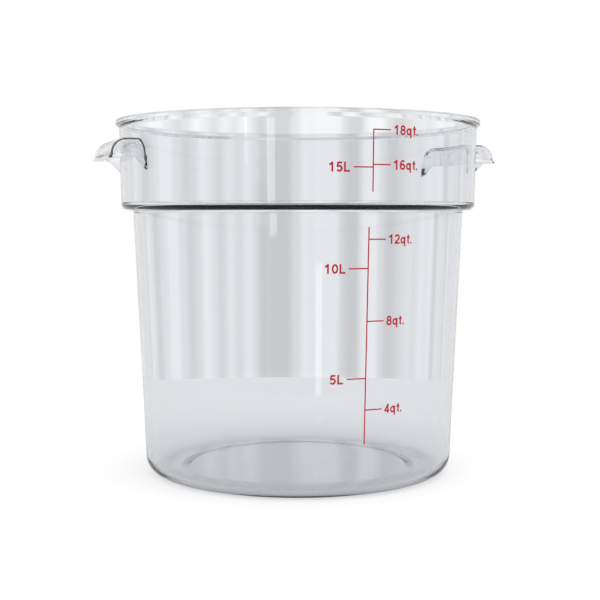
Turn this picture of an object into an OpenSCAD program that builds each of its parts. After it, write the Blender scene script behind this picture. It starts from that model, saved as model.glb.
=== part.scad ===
// Round proofing and storage container, moulded in clear plastic, with two hooded
// handles on a wider collar and a printed quart and litre scale.
// Origin: middle of the base, on the table. +Z up, handles on the X axis, scale in front (-Y).
// Lengths are in millimetres and angles in degrees.

/* [Vessel] */
// Height from the table to the top of the rim
total_h = 305; // [290:1:330]
// Outside diameter that the tapered wall would have at the table
base_d = 267; // [255:1:275]
// Outside diameter of the tapered wall just under the step
shoulder_d = 287; // [278:1:294]
// Height of the step above the table
step_z = 227; // [210:1:235]
// Radius of the outer corner round the base
base_corner_r = 15; // [8:1:20]
// Thickness of the walls
wall = 3.8; // [2.8:0.1:5]
// Thickness of the floor
floor_t = 3.5; // [3:0.5:6]

/* [Foot] */
// Inside diameter of the ring that the container stands on
foot_ring_d = 206; // [180:1:212]
// How far the middle of the base is raised off the table
foot_h = 1.2; // [0.6:0.1:2]

/* [Collar] */
// Outside diameter of the collar at its lower edge
collar_base_d = 307; // [303:1:309]
// Outside diameter of the collar under the rim
collar_top_d = 310; // [309:1:312]
// How far the underside of the step climbs from the tapered wall to the collar
step_rise = 2; // [0.5:0.5:4]
// Radius of the lower outer edge of the collar
step_edge_r = 5; // [2:0.5:6]
// Radius in the corner between the tapered wall and the step
step_root_r = 1.5; // [0.5:0.5:3]

/* [Rim] */
// How far the upright edge of the rim stands out from the collar
rim_out = 3; // [2:0.1:6]
// Height of the upright edge of the rim
rim_edge_h = 3.6; // [3:0.1:5]
// Height of the slope that runs from the edge of the rim back to the collar
rim_slope_h = 3.2; // [2:0.1:5]
// Radius of the rounded corners on top of the rim
rim_round_r = 1.2; // [0.4:0.1:1.6]

/* [Handles] */
// Width of a handle across its two side walls
handle_w = 96; // [80:1:120]
// How far the front wall of a handle stands out from the top of the collar
handle_out = 17.3; // [15:0.1:25]
// Distance from the top of the rim down to the top of a handle
handle_drop = 18.5; // [14:0.5:30]
// Height of a handle from its top to its lower lip
handle_h = 16.4; // [15:0.1:24]
// Radius of the upright corners of a handle, seen from above
handle_corner_r = 15; // [13.5:0.5:17]
// Radius of the rounded edge between the top and the walls of a handle
handle_round_r = 13; // [10:0.5:13]
// Thickness of the handle walls
handle_wall = 3; // [2:0.1:4]
// How far the lip at the lower edge of a handle stands out
lip_out = 1.7; // [0.5:0.1:2.5]
// Height of the lip, where it runs out into the wall of the handle
lip_h = 3.4; // [2:0.1:5]
// How far the side walls of a handle run on below the lip where they meet the collar
web_drop = 9.6; // [4:0.1:14]
// How far from the collar the side walls reach down to the lip again
web_run = 10.4; // [5:0.1:12]

/* [Printed scale] */
// Quarts between two marks
quart_step = 4; // [2:1:6]
// Litres between two marks
litre_step = 5; // [1:1:5]
// Angle from the front to the line of the scale on the collar, towards the right handle
collar_line_a = 1.8; // [0:0.1:8]
// Angle from the front to the line of the scale on the tapered wall
wall_line_a = 2.6; // [0:0.1:8]
// Length of a quart mark
quart_mark_l = 14.5; // [8:0.5:20]
// Length of a litre mark
litre_mark_l = 15.5; // [8:0.5:20]
// Width of the printed lines
line_w = 1; // [0.6:0.1:2]
// Height of the lower end of the scale above the table
scale_low_z = 44; // [30:1:60]
// Distance from the step down to the upper end of the line on the tapered wall
line_below_step = 12; // [8:1:20]
// Distance from the step up to the lower end of the line on the collar
line_above_step = 15; // [10:1:22]
// How far below its true level the lowest quart mark is printed
low_mark_shift = 3.5; // [0:0.5:6]
// Thickness of the printed ink
ink_t = 0.15; // [0.1:0.05:0.3]
// Gap between the wall and the ink
ink_gap = 0.03; // [0.02:0.01:0.05]

/* [Hidden] */

// Facets round the axis, and steps in each rounded corner
$fn = 180;
ARC_STEPS = 8;
// Cubic millimetres in a US quart and in a litre
QUART = 946352.946;
LITRE = 1000000;
// Halvings of the height when a liquid level is looked for
LEVEL_STEPS = 30;
// Overlap of cutting shapes past the faces that they cut
PAST = 5;

CLEAR = [0.86, 0.89, 0.93, 0.35];
INK = [0.78, 0.10, 0.17];

rim_r = collar_top_d / 2 + rim_out;
collar_low_z = step_z + step_rise;
collar_high_z = total_h - rim_edge_h - rim_slope_h;
handle_reach = collar_top_d / 2 + handle_out;
handle_top_z = total_h - handle_drop;
handle_lip_z = handle_top_z - handle_h;
web_low_z = handle_lip_z - web_drop;

function mix(a, b, k) = a + (b - a) * k;
function unit(v) = v / norm(v);
function sum(v) = v * [for (x = v) 1];
function reverse(v) = [for (i = [len(v) - 1:-1:0]) v[i]];

// Outside radius of the tapered wall, of the collar, and of whichever is at height z
function taper_r(z) = mix(base_d, shoulder_d, z / step_z) / 2;
function collar_r(z) =
    mix(collar_base_d, collar_top_d, (z - collar_low_z) / (collar_high_z - collar_low_z)) / 2;
function wall_r(z) = z < step_z ? taper_r(z) : collar_r(z);

// Points of the corner p = [x, y, radius] between its neighbours a and b
function corner(a, p, b) =
    let (here = [p.x, p.y],
         u = unit([a.x, a.y] - here),
         v = unit([b.x, b.y] - here),
         half = acos(u * v) / 2,
         from = here + u * p.z / tan(half),
         to = here + v * p.z / tan(half),
         middle = here + unit(u + v) * p.z / sin(half),
         turn = 180 - 2 * half)
    [for (k = [0:ARC_STEPS])
        let (s = k / ARC_STEPS)
        middle + ((from - middle) * sin(turn * (1 - s)) + (to - middle) * sin(turn * s)) / sin(turn)];

// A closed outline with its corners rounded, from points [x, y, radius]
function rounded(pts) =
    let (n = len(pts))
    [for (i = [0:n - 1])
        let (p = pts[i])
        each (p.z > 0 ? corner(pts[(i + n - 1) % n], p, pts[(i + 1) % n]) : [[p.x, p.y]])];

// The outside of the section, from the middle of the base up to the top of the rim
outside = [
    [0, foot_h, 0],
    [foot_ring_d / 2 - foot_h, foot_h, foot_h / 2],
    [foot_ring_d / 2, 0, foot_h / 2],
    [taper_r(0), 0, base_corner_r],
    [taper_r(step_z), step_z, step_root_r],
    [collar_r(collar_low_z), collar_low_z, step_edge_r],
    [collar_r(collar_high_z), collar_high_z, rim_round_r],
    [rim_r, total_h - rim_edge_h, rim_round_r / 2],
    [rim_r, total_h, rim_round_r]
];

// The inside of the section, from the middle of the floor up to the top of the rim
floor_z = foot_h + floor_t;
inner_low_z = collar_low_z + wall;
function hollow(mouth_round) = [
    [0, floor_z, 0],
    [taper_r(floor_z) - wall, floor_z, base_corner_r - wall],
    [taper_r(step_z) - wall, step_z + wall, step_root_r + wall],
    [collar_r(inner_low_z) - wall, inner_low_z, step_edge_r - wall / 2],
    [collar_r(total_h) - wall, total_h, mouth_round]
];

// Volume of liquid under height z, from the same inside line
hollow_line = rounded(hollow(0));
function frustum(a, b) = PI * (b.y - a.y) * (a.x * a.x + a.x * b.x + b.x * b.x) / 3;
function cut_at(a, b, z) = b.y <= z ? b : [mix(a.x, b.x, (z - a.y) / (b.y - a.y)), z];
function held(z) = sum([
    for (i = [0:len(hollow_line) - 2])
        let (a = hollow_line[i], b = hollow_line[i + 1])
        if (a.y < z && a.y < b.y) frustum(a, cut_at(a, b, z))
]);
function level(volume, low = floor_z + 1, high = total_h, n = LEVEL_STEPS) =
    let (z = (low + high) / 2)
    n == 0 ? z : held(z) < volume ? level(volume, z, high, n - 1) : level(volume, low, z, n - 1);

// Whole quarts that fit under the rim, and the amounts that get a mark
full_quarts = floor(held(collar_high_z - line_w) / QUART);
marks_quart = concat([for (q = [quart_step:quart_step:full_quarts - 1]) q], [full_quarts]);
marks_litre = [for (l = [litre_step:litre_step:full_quarts * QUART / LITRE]) l];

// Height of a quart mark; the lowest one is printed a little under its level
function quart_z(q) = level(q * QUART) - (q == marks_quart[0] ? low_mark_shift : 0);

// A mark is printed only on the upright walls, clear of the foot, the step and the rim
function printable(z) =
    z > scale_low_z && z < collar_high_z - line_w
    && (z < step_z - line_below_step || z > step_z + line_above_step);

// The vessel: raised floor, tapered wall, step, collar and rim in one moulding
module container_body() {
    color(CLEAR)
    rotate_extrude()
    polygon(rounded(concat(outside, reverse(hollow(rim_round_r)))));
}

// Half of the upright section through a handle wall. The inset form, made by
// one wall thickness, is the hollow for the fingers; it has no lip and no floor.
function hood_edge(inset) =
    let (r = handle_corner_r - inset,
         round_r = handle_round_r - inset,
         top = handle_top_z - inset,
         low = inset > 0 ? web_low_z - PAST : web_low_z,
         lip = inset > 0 ? 0 : lip_out)
    rounded([
        [0, low, 0],
        [r + lip, low, 0],
        [r + lip, handle_lip_z + lip_h / 4, 0],
        [r, handle_lip_z + lip_h, 0],
        [r, top, round_r],
        [0, top, 0]
    ]);

// A block with rounded front corners and a rounded top edge, reaching along +X from the axis
module hood_block(inset) {
    edge = hood_edge(inset);
    front_x = handle_reach - handle_corner_r;
    side_y = handle_w / 2 - handle_corner_r;
    top = handle_top_z - inset;
    low = edge[0].y;
    for (side = [-1, 1])
        translate([front_x, side * side_y, 0])
        rotate([0, 0, side > 0 ? 0 : -90])
        rotate_extrude(angle = 90)
        polygon(edge);
    translate([front_x, side_y, 0])
    rotate([90, 0, 0])
    linear_extrude(height = 2 * side_y)
    polygon(edge);
    for (side = [-1, 1])
        translate([side > 0 ? 0 : front_x, side * side_y, 0])
        rotate([90, 0, side * 90])
        linear_extrude(height = front_x)
        polygon(edge);
    translate([0, -side_y, low])
    cube([front_x, 2 * side_y, top - low]);
}

// The right handle: a hollow hood, open below, whose side walls run down to the collar
module hood() {
    root_x = sqrt(pow(collar_r(web_low_z), 2) - pow(handle_w / 2, 2));
    difference() {
        hood_block(0);
        hood_block(handle_wall);
        rotate([90, 0, 0])
        translate([0, 0, -handle_w])
        linear_extrude(height = 2 * handle_w)
        polygon([
            [root_x, web_low_z],
            [root_x + web_run, handle_lip_z],
            [handle_reach + lip_out + PAST, handle_lip_z],
            [handle_reach + lip_out + PAST, web_low_z - PAST],
            [root_x, web_low_z - PAST]
        ]);
        collar_core();
    }
}

// The space inside the outer face of the collar, which the handles seat on
module collar_core() {
    low = web_low_z - 2 * PAST;
    high = handle_top_z + PAST;
    rotate_extrude()
    polygon([[0, low], [collar_r(low), low], [collar_r(high), high], [0, high]]);
}

module right_handle() {
    color(CLEAR) hood();
}

module left_handle() {
    color(CLEAR) rotate([0, 0, 180]) hood();
}

// A patch of ink on the wall, between two angles from the front and two heights
module ink(a0, a1, z0, z1) {
    color(INK)
    rotate([0, 0, a0 - 90])
    rotate_extrude(angle = a1 - a0)
    translate([ink_gap, 0])
    polygon([
        [wall_r(z0), z0],
        [wall_r(z0) + ink_t, z0],
        [wall_r(z1) + ink_t, z1],
        [wall_r(z1), z1]
    ]);
}

// A level mark that starts beside the scale's line: side 1 is right of it, -1 is left
module level_mark(z, length, side) {
    if (printable(z)) {
        line_a = z < step_z ? wall_line_a : collar_line_a;
        degrees_per_mm = 180 / (PI * wall_r(z));
        near = line_a + side * (line_w / 2 + ink_gap) * degrees_per_mm;
        far = near + side * length * degrees_per_mm;
        ink(min(near, far), max(near, far), z - line_w / 2, z + line_w / 2);
    }
}

// An upright line of the scale
module upright_line(line_a, z0, z1) {
    half_a = line_w / 2 * 180 / (PI * wall_r(z0));
    ink(line_a - half_a, line_a + half_a, z0, z1);
}

module quart_marks() {
    for (q = marks_quart) level_mark(quart_z(q), quart_mark_l, 1);
}

module litre_marks() {
    for (l = marks_litre) level_mark(level(l * LITRE), litre_mark_l, -1);
}

module collar_scale_line() {
    upright_line(collar_line_a, step_z + line_above_step, level(full_quarts * QUART) + line_w / 2);
}

module wall_scale_line() {
    upright_line(wall_line_a, scale_low_z, step_z - line_below_step);
}

container_body();
left_handle();
right_handle();
quart_marks();
litre_marks();
collar_scale_line();
wall_scale_line();
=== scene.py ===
import math

import bmesh
import bpy
from mathutils import Matrix, Vector

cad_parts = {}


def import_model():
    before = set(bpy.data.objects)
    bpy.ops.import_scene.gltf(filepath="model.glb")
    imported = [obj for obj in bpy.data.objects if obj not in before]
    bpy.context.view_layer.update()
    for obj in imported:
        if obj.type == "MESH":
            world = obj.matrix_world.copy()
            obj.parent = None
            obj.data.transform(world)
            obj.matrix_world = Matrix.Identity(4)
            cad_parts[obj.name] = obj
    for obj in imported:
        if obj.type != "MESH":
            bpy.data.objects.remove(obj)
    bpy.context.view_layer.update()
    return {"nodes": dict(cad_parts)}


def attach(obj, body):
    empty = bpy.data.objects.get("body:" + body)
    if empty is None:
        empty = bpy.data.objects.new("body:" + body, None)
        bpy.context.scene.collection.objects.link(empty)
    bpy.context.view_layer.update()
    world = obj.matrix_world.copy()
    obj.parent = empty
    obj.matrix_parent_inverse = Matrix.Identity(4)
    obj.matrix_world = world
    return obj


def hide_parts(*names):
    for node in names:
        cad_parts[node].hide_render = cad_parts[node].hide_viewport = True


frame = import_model()

MM = 0.001

# The photo's camera: pixels, then metres from the axis and above the floor, then degrees
PHOTO_W, FOCAL_LENGTH = 600, 1215.2
CAMERA_DISTANCE, CAMERA_HEIGHT = 1.072, 0.2254
CAMERA_AZIMUTH, CAMERA_PITCH, CAMERA_YAW = -20.0, 4.07, 0.097
SENSOR_W = 36


def make_camera():
    data = bpy.data.cameras.new("camera")
    data.sensor_width = SENSOR_W
    data.lens = SENSOR_W * FOCAL_LENGTH / PHOTO_W
    camera = bpy.data.objects.new("camera", data)
    bpy.context.scene.collection.objects.link(camera)
    azimuth = math.radians(CAMERA_AZIMUTH)
    camera.location = (
        math.sin(azimuth) * CAMERA_DISTANCE, -math.cos(azimuth) * CAMERA_DISTANCE, CAMERA_HEIGHT)
    turn = Matrix.Rotation(azimuth, 3, "Z") @ Matrix.Rotation(math.radians(-CAMERA_YAW), 3, "Z")
    tilt = Matrix.Rotation(math.radians(90 - CAMERA_PITCH), 3, "X")
    camera.rotation_euler = (turn @ tilt).to_euler()
    bpy.context.scene.camera = camera


make_camera()


# Helpers for node trees
MIX_FACTOR, MIX_A, MIX_B, MIX_RESULT = 0, 6, 7, 2
WHITE = (1, 1, 1, 1)


def grey(level):
    return (level, level, level, 1)


class Nodes:
    """Adds nodes to a tree. Each input is a plain value or the socket that feeds it."""

    def __init__(self, tree):
        self.tree = tree

    def add(self, kind, **settings):
        node = self.tree.nodes.new(kind)
        inputs = settings.pop("inputs", {})
        for key, value in settings.items():
            setattr(node, key, value)
        for key, value in inputs.items():
            if isinstance(value, bpy.types.NodeSocket):
                self.tree.links.new(value, node.inputs[key])
            else:
                node.inputs[key].default_value = value
        return node

    def math(self, operation, first, second=None):
        inputs = {0: first}
        if second is not None:
            inputs[1] = second
        return self.add("ShaderNodeMath", operation=operation, inputs=inputs).outputs[0]

    def ramp(self, value, stops):
        """A ramp of greys through stops of position and level."""
        node = self.add("ShaderNodeValToRGB", inputs={0: value})
        elements = node.color_ramp.elements
        while len(elements) > 1:
            elements.remove(elements[0])
        elements[0].position = stops[0][0]
        elements[0].color = grey(stops[0][1])
        for position, level in stops[1:]:
            elements.new(position).color = grey(level)
        return node.outputs[0]

    def mix(self, factor, first, second, blend="MIX"):
        """Two colours mixed, or combined as blend says."""
        inputs = {MIX_FACTOR: factor, MIX_A: first, MIX_B: second}
        node = self.add("ShaderNodeMix", data_type="RGBA", blend_type=blend, inputs=inputs)
        return node.outputs[MIX_RESULT]

    def mix_shader(self, factor, first, second):
        return self.add("ShaderNodeMixShader", inputs={0: factor, 1: first, 2: second}).outputs[0]


def new_material(name):
    material = bpy.data.materials.new(name)
    material.use_nodes = True
    material.node_tree.nodes.clear()
    return material, Nodes(material.node_tree)


# Materials. The index of refraction is lower than real clear plastic's, and was chosen
PLASTIC_TINT, PLASTIC_INDEX = (0.905, 0.914, 0.928, 1), 1.36
PLASTIC_DEPTH_TINT, PLASTIC_DENSITY = (0.20, 0.24, 0.34, 1), 12.0
PLASTIC_ROUGHEST = 0.03
THROUGH_TINT = (0.83, 0.83, 0.835, 1)
INK_DARK, INK_LIGHT, INK_ROUGHNESS = (0.58, 0.006, 0.020, 1), (0.70, 0.014, 0.034, 1), 0.45


def clear_plastic():
    material, nodes = new_material("clear_plastic_look")
    path = nodes.add("ShaderNodeLightPath")
    where = nodes.add("ShaderNodeTexCoord").outputs["Object"]
    waves = nodes.add("ShaderNodeTexNoise", inputs={"Vector": where, "Scale": 9, "Detail": 1})
    ripple = nodes.add("ShaderNodeBump", inputs={
        "Height": waves.outputs[0], "Strength": 0.02, "Distance": 0.01})
    smears = nodes.add("ShaderNodeTexNoise", inputs={"Vector": where, "Scale": 30, "Detail": 3})
    roughness = nodes.add("ShaderNodeMapRange", inputs={
        "Value": smears.outputs[0], "From Min": 0.3, "From Max": 0.8,
        "To Min": 0.0, "To Max": PLASTIC_ROUGHEST})
    plastic = nodes.add("ShaderNodeBsdfPrincipled", inputs={
        "Base Color": PLASTIC_TINT, "Transmission Weight": 1.0, "IOR": PLASTIC_INDEX,
        "Roughness": roughness.outputs[0], "Normal": ripple.outputs[0]})
    # Light on its way to the floor and the ink goes straight through, dimmed at each surface
    clear = nodes.add("ShaderNodeBsdfTransparent", inputs={"Color": THROUGH_TINT})
    straight = nodes.math("MAXIMUM", path.outputs["Is Shadow Ray"], path.outputs["Is Diffuse Ray"])
    surface = nodes.mix_shader(straight, plastic.outputs[0], clear.outputs[0])
    depth = nodes.add("ShaderNodeVolumeAbsorption", inputs={
        "Color": PLASTIC_DEPTH_TINT, "Density": PLASTIC_DENSITY})
    nodes.add("ShaderNodeOutputMaterial", inputs={"Surface": surface, "Volume": depth.outputs[0]})
    return material


def red_ink():
    material, nodes = new_material("red_ink_look")
    where = nodes.add("ShaderNodeTexCoord").outputs["Object"]
    grain = nodes.add("ShaderNodeTexNoise", inputs={"Vector": where, "Scale": 900, "Detail": 2})
    colour = nodes.mix(grain.outputs[0], INK_DARK, INK_LIGHT)
    ink = nodes.add("ShaderNodeBsdfPrincipled", inputs={"Base Color": colour, "Roughness": INK_ROUGHNESS})
    nodes.add("ShaderNodeOutputMaterial", inputs={"Surface": ink.outputs[0]})
    return material


PLASTIC = clear_plastic()
INK = red_ink()


def finish_with(piece, material):
    piece.data.materials.clear()
    piece.data.materials.append(material)


def place(name, mesh):
    piece = bpy.data.objects.new(name, mesh)
    bpy.context.scene.collection.objects.link(piece)
    return piece


# The section of the vessel, in millimetres, with the CAD source's sizes but for FOOT_SLOPE
TOTAL_H, STEP_Z = 305.0, 227.0
BASE_D, SHOULDER_D = 267.0, 287.0
BASE_CORNER_R, WALL, FLOOR_T = 15.0, 3.8, 3.5
FOOT_RING_D, FOOT_H, FOOT_SLOPE = 206.0, 1.2, 8.0
COLLAR_BASE_D, COLLAR_TOP_D = 307.0, 310.0
STEP_RISE, STEP_EDGE_R, STEP_ROOT_R = 2.0, 5.0, 1.5
RIM_OUT, RIM_EDGE_H, RIM_SLOPE_H, RIM_ROUND_R = 3.0, 3.6, 3.2, 1.2
COLLAR_LOW_Z = STEP_Z + STEP_RISE
COLLAR_HIGH_Z = TOTAL_H - RIM_EDGE_H - RIM_SLOPE_H

# The collar reaches this far into the handles, so that no seam of air is left between them
HANDLE_SEAT = 0.08
ROUND_SEGMENTS, CORNER_STEPS = 288, 10


def mix(low, high, share):
    return low + (high - low) * share


def taper_r(z):
    return mix(BASE_D, SHOULDER_D, z / STEP_Z) / 2


def collar_r(z):
    return mix(COLLAR_BASE_D, COLLAR_TOP_D, (z - COLLAR_LOW_Z) / (COLLAR_HIGH_Z - COLLAR_LOW_Z)) / 2


def wall_r(z):
    return taper_r(z) if z < STEP_Z else collar_r(z)


def rounded(corners):
    """Points and outward normals along corners of x, y and radius that run anticlockwise."""
    made = []
    count = len(corners)
    for i, (x, y, radius) in enumerate(corners):
        here = Vector((x, y))
        if radius <= 0:
            made.append((here, None))
            continue
        back = (Vector(corners[i - 1][:2]) - here).normalized()
        ahead = (Vector(corners[(i + 1) % count][:2]) - here).normalized()
        half = back.angle(ahead) / 2
        middle = here + (back + ahead).normalized() * (radius / math.sin(half))
        start = here + back * (radius / math.tan(half)) - middle
        end = here + ahead * (radius / math.tan(half)) - middle
        turn = math.pi - 2 * half
        outward = 1 if back.x * ahead.y < back.y * ahead.x else -1
        for k in range(CORNER_STEPS + 1):
            share = k / CORNER_STEPS
            arm = (start * math.sin(turn * (1 - share)) + end * math.sin(turn * share)) / math.sin(turn)
            made.append((middle + arm, arm.normalized() * outward))
    return made


def vessel_outline():
    """Half of the section, from the underside's middle round the rim to the middle of the inside."""
    floor_z = FOOT_H + FLOOR_T
    inner_low_z = COLLAR_LOW_Z + WALL
    outside = [
        (0, FOOT_H, 0),
        (FOOT_RING_D / 2 - FOOT_SLOPE, FOOT_H, FOOT_H),
        (FOOT_RING_D / 2, 0, FOOT_H),
        (taper_r(0), 0, BASE_CORNER_R),
        (taper_r(STEP_Z), STEP_Z, STEP_ROOT_R),
        (collar_r(COLLAR_LOW_Z) + HANDLE_SEAT, COLLAR_LOW_Z, STEP_EDGE_R),
        (collar_r(COLLAR_HIGH_Z) + HANDLE_SEAT, COLLAR_HIGH_Z, RIM_ROUND_R),
        (COLLAR_TOP_D / 2 + RIM_OUT, TOTAL_H - RIM_EDGE_H, RIM_ROUND_R / 2),
        (COLLAR_TOP_D / 2 + RIM_OUT, TOTAL_H, RIM_ROUND_R),
    ]
    hollow = [
        (0, floor_z, 0),
        (taper_r(floor_z) - WALL, floor_z, BASE_CORNER_R - WALL),
        (taper_r(STEP_Z) - WALL, STEP_Z + WALL, STEP_ROOT_R + WALL),
        (collar_r(inner_low_z) - WALL, inner_low_z, STEP_EDGE_R - WALL / 2),
        (collar_r(TOTAL_H) - WALL, TOTAL_H, RIM_ROUND_R),
    ]
    return rounded(outside + hollow[::-1])


def revolve(name, outline):
    """A closed solid turned from an outline of points and normals that starts and ends on the axis."""
    verts, normals, faces, rings = [], [], [], []
    for point, normal in outline:
        x, z = point.x * MM, point.y * MM
        if point.x == 0:
            verts.append((0, 0, z))
            normals.append((0, 0, 1 if rings else -1))
            rings.append([len(verts) - 1])
            continue
        rings.append(list(range(len(verts), len(verts) + ROUND_SEGMENTS)))
        for k in range(ROUND_SEGMENTS):
            angle = 2 * math.pi * k / ROUND_SEGMENTS
            verts.append((x * math.cos(angle), x * math.sin(angle), z))
            normals.append((normal.x * math.cos(angle), normal.x * math.sin(angle), normal.y))
    for low, high in zip(rings, rings[1:]):
        for k in range(ROUND_SEGMENTS):
            following = (k + 1) % ROUND_SEGMENTS
            if len(low) == 1:
                faces.append((low[0], high[following], high[k]))
            elif len(high) == 1:
                faces.append((low[k], low[following], high[0]))
            else:
                faces.append((low[k], low[following], high[following], high[k]))
    mesh = bpy.data.meshes.new(name)
    mesh.from_pydata(verts, [], faces)
    mesh.shade_smooth()
    mesh.normals_split_custom_set_from_vertices(normals)
    return mesh


def make_vessel():
    vessel = place("vessel", revolve("vessel", vessel_outline()))
    finish_with(vessel, PLASTIC)
    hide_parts("container_body")
    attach(vessel, "root")


SAME_POINT = 1e-5
SMOOTH_ANGLE = 32


def smooth_hood(name, node):
    """The CAD handle's own form, shaded smoothly over the steps of its rounded edges."""
    made = bmesh.new()
    made.from_mesh(frame["nodes"][node].data)
    bmesh.ops.remove_doubles(made, verts=made.verts, dist=SAME_POINT)
    mesh = bpy.data.meshes.new(name)
    made.to_mesh(mesh)
    made.free()
    mesh.shade_smooth()
    mesh.set_sharp_from_angle(angle=math.radians(SMOOTH_ANGLE))
    piece = place(name, mesh)
    finish_with(piece, PLASTIC)
    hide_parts(node)
    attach(piece, "root")


make_vessel()
smooth_hood("left_hood", "left_handle")
smooth_hood("right_hood", "right_handle")
for name in ("quart_marks", "litre_marks", "collar_scale_line", "wall_scale_line"):
    finish_with(frame["nodes"][name], INK)


# The scale's numerals, laid on the wall beside the marks, in millimetres
QUART_MARK_L, LITRE_MARK_L = 14.5, 15.5
NUMERAL_H, TEXT_GAP, INK_RISE = 7.6, 2.6, 0.18

# Where the two upright lines stand, in degrees round from the front
WALL_LINE_TURN, COLLAR_LINE_TURN = 2.6, 1.8

# Heights further apart than this belong to two marks
MARKS_APART = 5
QUARTS, LITRES = (4, 8, 12, 16, 18), (5, 10, 15)


def mark_heights(node):
    """Heights of the marks of a CAD node in millimetres, lowest first."""
    heights = sorted(v.co.z / MM for v in frame["nodes"][node].data.vertices)
    groups = [[heights[0]]]
    for z in heights[1:]:
        if z - groups[-1][-1] > MARKS_APART:
            groups.append([])
        groups[-1].append(z)
    return [(group[0] + group[-1]) / 2 for group in groups]


def arc(x, y, rx, ry, start, end, steps=20):
    """Points of an elliptic arc between two angles in degrees."""
    angles = [math.radians(mix(start, end, k / steps)) for k in range(steps + 1)]
    return [(x + rx * math.cos(angle), y + ry * math.sin(angle)) for angle in angles]


# Each sign's advance and the middle lines of its strokes, where a numeral is 1 high
SIGNS = {
    "0": (0.78, [arc(0.385, 0.5, 0.25, 0.405, 0, 360)]),
    "1": (0.78, [[(0.13, 0.70), (0.27, 0.76), (0.40, 0.90)], [(0.44, 1.0), (0.44, 0.0)]]),
    "2": (0.78, [arc(0.375, 0.66, 0.235, 0.245, 172, -32) + [(0.14, 0.12)], [(0.06, 0.09), (0.68, 0.09)]]),
    "4": (0.78, [[(0.70, 0.28), (0.10, 0.28)], [(0.12, 0.26), (0.50, 0.92)], [(0.51, 1.0), (0.51, 0.0)]]),
    "5": (0.78, [[(0.66, 0.91), (0.23, 0.91)], [(0.25, 0.98), (0.18, 0.46)],
                 arc(0.375, 0.335, 0.25, 0.245, 142, -152)]),
    "6": (0.78, [arc(0.39, 0.325, 0.245, 0.235, 0, 360), arc(0.42, 0.48, 0.28, 0.43, 195, 50)]),
    "8": (0.78, [arc(0.385, 0.715, 0.205, 0.195, 0, 360), arc(0.385, 0.305, 0.25, 0.215, 0, 360)]),
    "q": (0.85, [arc(0.34, 0.36, 0.215, 0.27, 0, 360), [(0.60, 0.72), (0.60, -0.27)]]),
    "t": (0.46, [[(0.21, 0.94), (0.21, 0.22)] + arc(0.34, 0.22, 0.13, 0.13, 190, 280, 8),
                 [(0.02, 0.65), (0.42, 0.65)]]),
    ".": (0.34, [[(0.15, 0.0), (0.15, 0.19)]]),
    "L": (0.80, [[(0.17, 1.0), (0.17, 0.0)], [(0.10, 0.09), (0.70, 0.09)]]),
}
STROKE = 0.19


def strokes(words):
    """Corners and faces of flat ribbons along the strokes of words, and how wide the words are."""
    verts, faces, x = [], [], 0.0
    for sign in words:
        advance, lines = SIGNS[sign]
        for line in lines:
            points = [Vector(point) for point in line]
            for k, point in enumerate(points):
                before, after = points[max(k - 1, 0)], points[min(k + 1, len(points) - 1)]
                along = (after - before).normalized()
                side = Vector((-along.y, along.x)) * (STROKE / 2)
                if k:
                    last = len(verts) - 1
                    faces.append((last - 1, last, last + 2, last + 1))
                verts += [(x + point.x + side.x, point.y + side.y), (x + point.x - side.x, point.y - side.y)]
        x += advance
    return verts, faces, x


def numeral(name, words, z, side):
    """Words level with a mark at height z, right of the marks where side is 1 and left where it is -1."""
    verts, faces, width = strokes(words)
    line_turn = WALL_LINE_TURN if z < STEP_Z else COLLAR_LINE_TURN
    if side > 0:
        start = QUART_MARK_L + TEXT_GAP
    else:
        start = -LITRE_MARK_L - TEXT_GAP - width * NUMERAL_H
    laid = []
    for x, y in verts:
        height = z + (y - 0.5) * NUMERAL_H
        r = (wall_r(height) + INK_RISE) * MM
        angle = math.radians(line_turn) + (start + x * NUMERAL_H) / wall_r(z)
        laid.append((r * math.sin(angle), -r * math.cos(angle), height * MM))
    mesh = bpy.data.meshes.new(name)
    mesh.from_pydata(laid, [], faces)
    piece = place(name, mesh)
    finish_with(piece, INK)
    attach(piece, "root")


for amount, z in zip(QUARTS, mark_heights("quart_marks")):
    numeral("numeral_%d_quarts" % amount, "%dqt." % amount, z, 1)
for amount, z in zip(LITRES, mark_heights("litre_marks")):
    numeral("numeral_%d_litres" % amount, "%dL" % amount, z, -1)


# The floor. Its glow brings it up to white for the camera, and nearly so through the plastic
FLOOR_R, FLOOR_CORNERS, FLOOR_COLOUR = 0.6, 96, 0.9
GLOW_SEEN, GLOW_THROUGH = 0.29, 0.15


def floor():
    mesh = bpy.data.meshes.new("floor")
    angles = [2 * math.pi * k / FLOOR_CORNERS for k in range(FLOOR_CORNERS)]
    edge = [(FLOOR_R * math.cos(angle), FLOOR_R * math.sin(angle), 0) for angle in angles]
    mesh.from_pydata(edge, [], [range(FLOOR_CORNERS)])
    piece = place("floor", mesh)
    material, nodes = new_material("floor_look")
    path = nodes.add("ShaderNodeLightPath")
    white = nodes.add("ShaderNodeBsdfDiffuse", inputs={"Color": grey(FLOOR_COLOUR)})
    seen = nodes.math("MULTIPLY", path.outputs["Is Camera Ray"], GLOW_SEEN)
    through = nodes.math("MULTIPLY", path.outputs["Is Transmission Ray"], GLOW_THROUGH)
    strength = nodes.math("ADD", seen, through)
    glow = nodes.add("ShaderNodeEmission", inputs={"Color": WHITE, "Strength": strength})
    both = nodes.add("ShaderNodeAddShader", inputs={0: white.outputs[0], 1: glow.outputs[0]})
    nodes.add("ShaderNodeOutputMaterial", inputs={"Surface": both.outputs[0]})
    piece.data.materials.append(material)


floor()


# The room's levels by degrees to either side of the photo's camera
ROOM = [(28, 0.45), (50, 0.75), (80, 0.95), (100, 1.0), (180, 1.0)]

# The ceiling's levels, where 0 is straight down and 1 straight up
CEILING = [(0, 1.0), (0.70, 1.0), (0.85, 0.75), (1.0, 0.6)]

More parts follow.
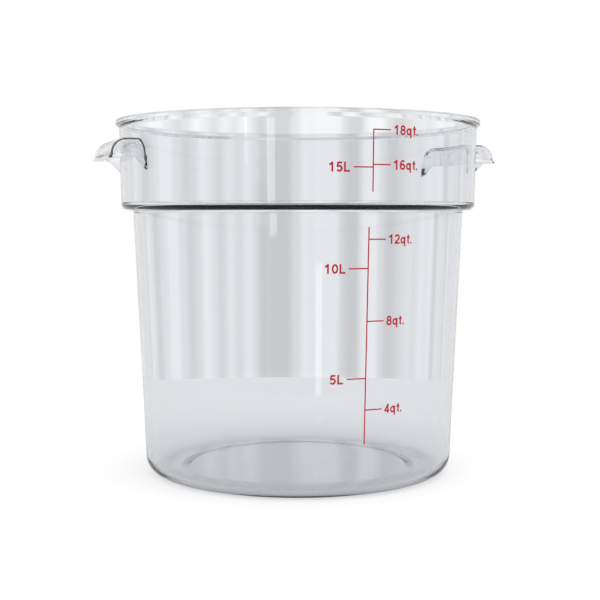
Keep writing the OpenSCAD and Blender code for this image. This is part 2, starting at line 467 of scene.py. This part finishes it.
# Folds to a degree round, and their levels by the noise that makes them
FOLDS_SCALE, FOLDS = 0.09, [(0.35, 0.78), (0.62, 1.08)]

# Narrow lamps in the gloss: middle and width in degrees round, lowest and highest in degrees up, strength
STRIPS = [(-16.5, 5.0, -6.0, 2.7, 3.4), (-32, 1.6, 0, 2.5, 2.0), (27, 8, 4, 9, 1.0)]

# What lights the object and the floor from all round
DIFFUSE_LEVEL = 0.62


def directions(nodes):
    """Where a ray goes, in degrees round from the photo's camera, to its right, and in degrees up."""
    direction = nodes.add("ShaderNodeTexCoord").outputs["Generated"]
    turned = nodes.add("ShaderNodeVectorRotate", rotation_type="Z_AXIS", inputs={
        "Vector": direction, "Angle": math.radians(-CAMERA_AZIMUTH)})
    xyz = nodes.add("ShaderNodeSeparateXYZ", inputs={0: turned.outputs[0]})
    forward = nodes.math("MULTIPLY", xyz.outputs[1], -1)
    around = nodes.math("MULTIPLY", nodes.math("ARCTAN2", xyz.outputs[0], forward), 180 / math.pi)
    up = nodes.math("MULTIPLY", nodes.math("ARCSINE", xyz.outputs[2]), 180 / math.pi)
    return around, up


def at(degrees):
    """The place on the room's ramp of a direction in degrees round."""
    return (degrees + 180) / 360


def strip_lamp(nodes, around, up, middle, width, low, high, strength):
    across = nodes.math("ABSOLUTE", nodes.math("SUBTRACT", around, middle))
    inside = nodes.math("LESS_THAN", across, width / 2)
    above = nodes.math("GREATER_THAN", up, low)
    under = nodes.math("LESS_THAN", up, high)
    lit = nodes.math("MULTIPLY", under, strength)
    return nodes.math("MULTIPLY", nodes.math("MULTIPLY", inside, above), lit)


def studio(nodes, around, up):
    """The room that the gloss shows: brighter at the sides, in soft folds, with narrow lamps."""
    round_share = nodes.math("DIVIDE", nodes.math("ADD", around, 180), 360)
    left = [(at(-degrees), level) for degrees, level in reversed(ROOM)]
    right = [(at(degrees), level) for degrees, level in ROOM]
    room = nodes.ramp(round_share, left + right)
    noise = nodes.add("ShaderNodeTexNoise", noise_dimensions="1D", inputs={
        "W": nodes.math("MULTIPLY", around, FOLDS_SCALE), "Detail": 2})
    room = nodes.mix(1.0, room, nodes.ramp(noise.outputs[0], FOLDS), "MULTIPLY")
    lamps = [strip_lamp(nodes, around, up, *strip) for strip in STRIPS]
    lit = lamps[0]
    for lamp in lamps[1:]:
        lit = nodes.math("ADD", lit, lamp)
    return nodes.mix(1.0, room, lit, "ADD")


def world():
    made = bpy.data.worlds.new("studio")
    bpy.context.scene.world = made
    made.use_nodes = True
    made.node_tree.nodes.clear()
    nodes = Nodes(made.node_tree)
    path = nodes.add("ShaderNodeLightPath").outputs
    around, up = directions(nodes)
    height = nodes.math("DIVIDE", nodes.math("ADD", up, 90), 180)
    ceiling = nodes.ramp(height, CEILING)
    # White for the camera, white under a dimmer ceiling through the plastic, and the studio in the gloss
    through = nodes.mix(path["Is Transmission Ray"], WHITE, ceiling)
    gloss = nodes.mix(1.0, studio(nodes, around, up), ceiling, "MULTIPLY")
    shown = nodes.mix(path["Is Glossy Ray"], through, gloss)
    bent = nodes.math("MAXIMUM", path["Is Glossy Ray"], path["Is Transmission Ray"])
    looking = nodes.math("MAXIMUM", path["Is Camera Ray"], bent)
    # Every other ray only carries light, and gets a plain grey
    colour = nodes.mix(looking, grey(DIFFUSE_LEVEL), shown)
    light = nodes.add("ShaderNodeBackground", inputs={"Color": colour, "Strength": 1.0})
    nodes.add("ShaderNodeOutputWorld", inputs={"Surface": light.outputs[0]})


world()


def sun(name, azimuth_deg, elevation_deg, strength, angle_deg):
    """A soft lamp from far away, which the gloss and the view through the plastic don't show."""
    data = bpy.data.lights.new(name, "SUN")
    data.energy = strength
    data.angle = math.radians(angle_deg)
    lamp = bpy.data.objects.new(name, data)
    azimuth, elevation = math.radians(azimuth_deg), math.radians(elevation_deg)
    level = math.cos(elevation)
    towards = Vector((math.sin(azimuth) * level, -math.cos(azimuth) * level, math.sin(elevation)))
    lamp.rotation_euler = towards.to_track_quat("Z", "Y").to_euler()
    lamp.visible_glossy = False
    lamp.visible_transmission = False
    bpy.context.scene.collection.objects.link(lamp)


sun("overhead", azimuth_deg=10, elevation_deg=80, strength=1.0, angle_deg=50)

bpy.context.scene.view_settings.view_transform = "Standard"
